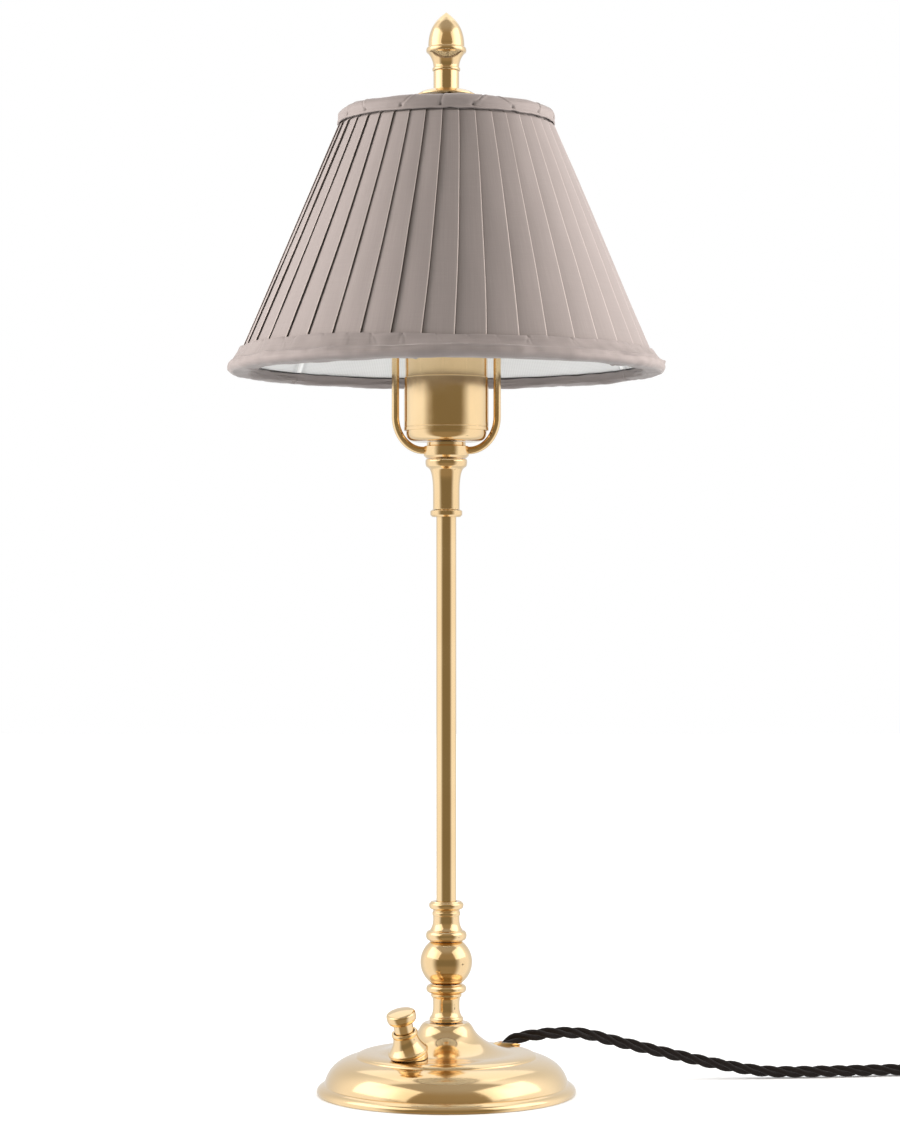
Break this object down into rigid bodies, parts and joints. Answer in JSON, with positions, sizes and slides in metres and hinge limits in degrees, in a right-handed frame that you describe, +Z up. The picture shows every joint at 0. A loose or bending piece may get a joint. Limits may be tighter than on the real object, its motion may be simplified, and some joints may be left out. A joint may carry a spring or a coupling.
{
  "type": "table lamp",
  "caption": "Brass table lamp: spun base with push switch, turned stem, lampholder inside a wire harp, knife-pleated tapered shade on a spider, acorn finial, twisted cord and plug.",
  "frame": {"origin": "on the table under the axis of the stem, at the underside of the felt", "axes": "+Z up along the stem; the front, with the push switch to the left, faces -Y; the cord leaves towards +X"},
  "size_m": [0.4565, 0.2256, 0.5403],
  "materials": {
    "brass": "polished brass, lacquered",
    "steel": "plated steel wire and hardware",
    "iron": "rough casting",
    "felt": "dark felt",
    "cover": "silky woven fabric in knife pleats",
    "lining": "pale satin lining",
    "cord": "braided dark brown strands, twisted",
    "ceramic": "glazed insulator",
    "opal": "opal lamp glass",
    "plug": "moulded black plastic",
    "nickel": "nickel-plated contacts and lamp cap"
  },
  "bodies": {
    "stand": {"felt_pad": "felt", "base_plate": "steel", "plate_screw_1": "steel", "plate_screw_2": "steel", "plate_screw_3": "steel", "base_weight": "iron", "base_shell": "brass", "base_washer": "steel", "base_nut": "steel", "base_nipple": "steel", "lower_spindle": "brass", "ball_knop": "brass", "upper_spindle": "brass", "stem_tube": "brass", "stem_coupler": "brass", "top_nipple": "steel", "base_flex": "cord", "stem_flex": "cord", "switch_body": "plug", "switch_ring": "brass", "switch_collar": "brass", "harp_hub": "brass", "harp_bow": "brass", "harp_stud": "brass", "socket_cup": "brass", "socket_nut": "steel", "socket_shell": "brass", "socket_insulator": "ceramic", "screw_shell": "brass", "centre_contact": "brass", "bulb_cap": "nickel", "bulb_glass": "opal", "cord_outlet": "brass", "cord_lead": "cord", "cord_coil": "cord", "cord_tail": "cord", "plug_relief": "plug", "plug_body": "plug", "plug_pin_1": "nickel", "plug_pin_2": "nickel", "plug_earth_1": "nickel", "plug_earth_2": "nickel"},
    "shade": {"shade_spider": "steel", "shade_bottom_ring": "steel", "shade_strut_1": "steel", "shade_strut_2": "steel", "shade_strut_3": "steel", "shade_strut_4": "steel", "shade_strut_5": "steel", "shade_strut_6": "steel", "shade_lining": "lining", "shade_cover": "cover", "shade_top_trim": "cover", "shade_bottom_trim": "cover", "shade_cap": "brass"},
    "finial": {"finial": "brass"},
    "button": {"switch_button": "brass"}
  },
  "joints": [
    {"name": "shade_turn", "type": "hinge", "parent": "stand", "child": "shade", "pos_m": [0, 0, 0.4968], "axis": [0, 0, 1], "continuous": true},
    {"name": "finial_turn", "type": "hinge", "parent": "stand", "child": "finial", "pos_m": [0, 0, 0.51], "axis": [0, 0, 1], "continuous": true},
    {"name": "switch_press", "type": "slide", "parent": "stand", "child": "button", "axis": [-0.1772, -0.2531, 0.9511], "range_m": [-0.003, 0], "stiffness_N_per_m": 600, "springref_m": 0.002}
  ]
}
